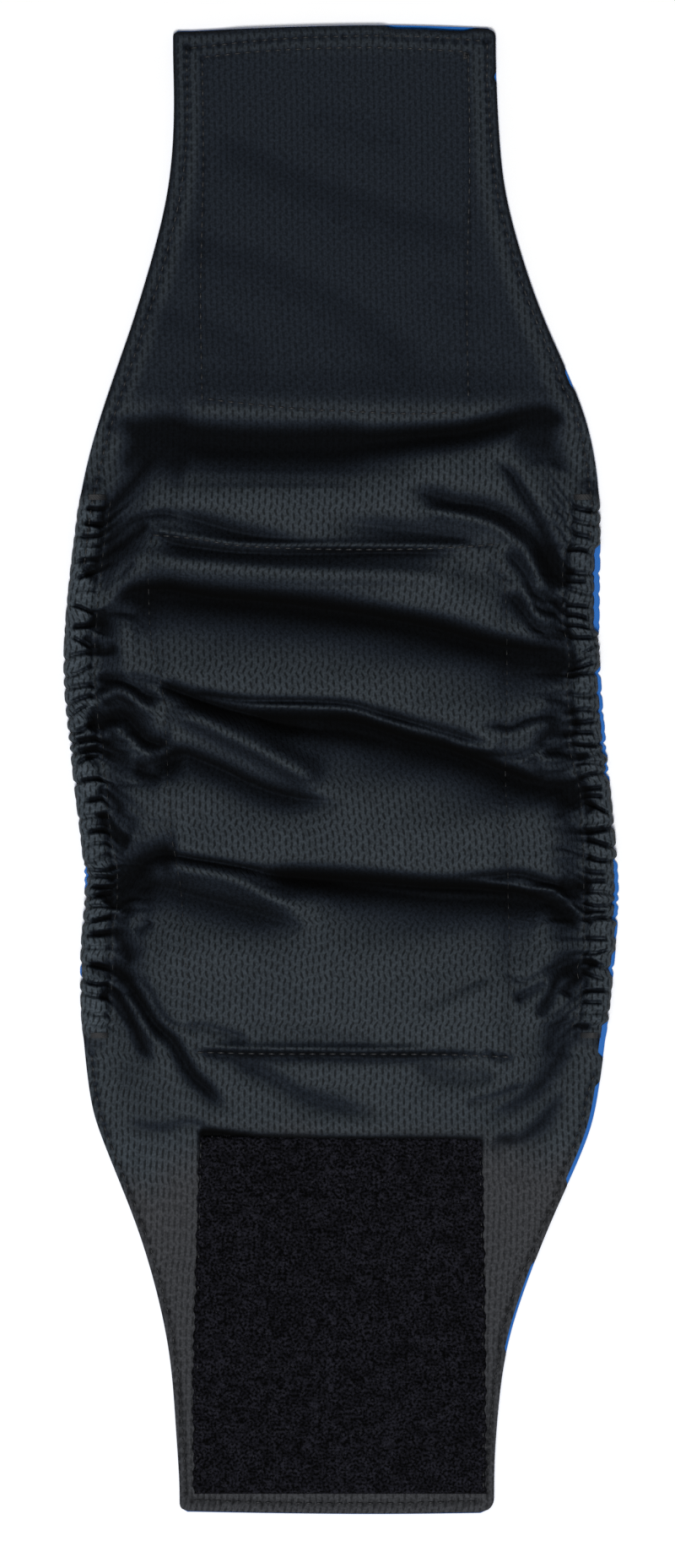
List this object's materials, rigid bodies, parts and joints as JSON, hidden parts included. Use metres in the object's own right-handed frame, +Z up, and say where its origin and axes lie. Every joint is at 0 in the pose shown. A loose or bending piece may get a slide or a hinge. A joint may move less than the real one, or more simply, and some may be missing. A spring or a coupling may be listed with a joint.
{
  "type": "belly band",
  "caption": "Soft fabric wrap lying open, lining up: a padded middle gathered by side elastics, and two tabs that fold over and close hook to loop.",
  "frame": {"origin": "middle of the band's footprint, on the surface it lies on", "axes": "+Y along the band towards the hook tab, +Z up from the outer shell to the lining, +X to the right when the hook tab is at the top"},
  "size_m": [0.1643, 0.44, 0.0112],
  "materials": {
    "shell": "royal blue plain-woven polyester, soft sheen",
    "lining": "black bird's-eye knit mesh, matt",
    "barrier": "thin waterproof film, satin",
    "core": "off-white absorbent terry, matt",
    "elastic": "black braided elastic, matt",
    "thread": "black polyester thread, slight sheen",
    "hook": "black nylon hooks on a woven tape",
    "loop": "black brushed loop pile, matt"
  },
  "bodies": {
    "centre_panel": {"shell_centre": "shell", "waterproof_barrier": "barrier", "absorbent_core_lower": "core", "absorbent_core_upper": "core", "lining_centre": "lining", "elastic_left": "elastic", "elastic_right": "elastic", "channel_stitch_left": "thread", "channel_stitch_right": "thread", "pad_box_stitch": "thread", "bartack_left_loop_end": "thread", "bartack_right_loop_end": "thread"},
    "hook_yoke": {"shell_hook_yoke": "shell", "lining_hook_yoke": "lining", "bartack_left_hook_end": "thread", "bartack_right_hook_end": "thread"},
    "hook_neck": {"shell_hook_neck": "shell", "lining_hook_neck": "lining"},
    "hook_tab": {"shell_hook_tab": "shell", "lining_hook_tab": "lining", "hook_patch": "hook", "hook_patch_stitch": "thread", "hook_tab_topstitch": "thread"},
    "loop_neck": {"shell_loop_neck": "shell", "lining_loop_neck": "lining"},
    "loop_tab": {"shell_loop_tab": "shell", "lining_loop_tab": "lining", "loop_patch": "loop", "loop_patch_stitch": "thread", "loop_tab_topstitch": "thread"}
  },
  "joints": [
    {"name": "elastic_stretch", "type": "slide", "parent": "centre_panel", "child": "hook_yoke", "axis": [0, 1, 0], "range_m": [0, 0.03], "stiffness_N_per_m": 100, "deforming": ["elastic_left", "elastic_right"]},
    {"name": "hook_neck_fold", "type": "hinge", "parent": "hook_yoke", "child": "hook_neck", "pos_m": [0, 0.0873, 0.0048], "axis": [1, 0, 0], "range_deg": [0, 90]},
    {"name": "hook_tab_fold", "type": "hinge", "parent": "hook_neck", "child": "hook_tab", "pos_m": [0, 0.1043, 0.0048], "axis": [1, 0, 0], "range_deg": [0, 90]},
    {"name": "loop_neck_fold", "type": "hinge", "parent": "centre_panel", "child": "loop_neck", "pos_m": [0, -0.086, 0.0048], "axis": [-1, 0, 0], "range_deg": [0, 90]},
    {"name": "loop_tab_fold", "type": "hinge", "parent": "loop_neck", "child": "loop_tab", "pos_m": [0, -0.1073, 0.0048], "axis": [-1, 0, 0], "range_deg": [0, 90]}
  ]
}
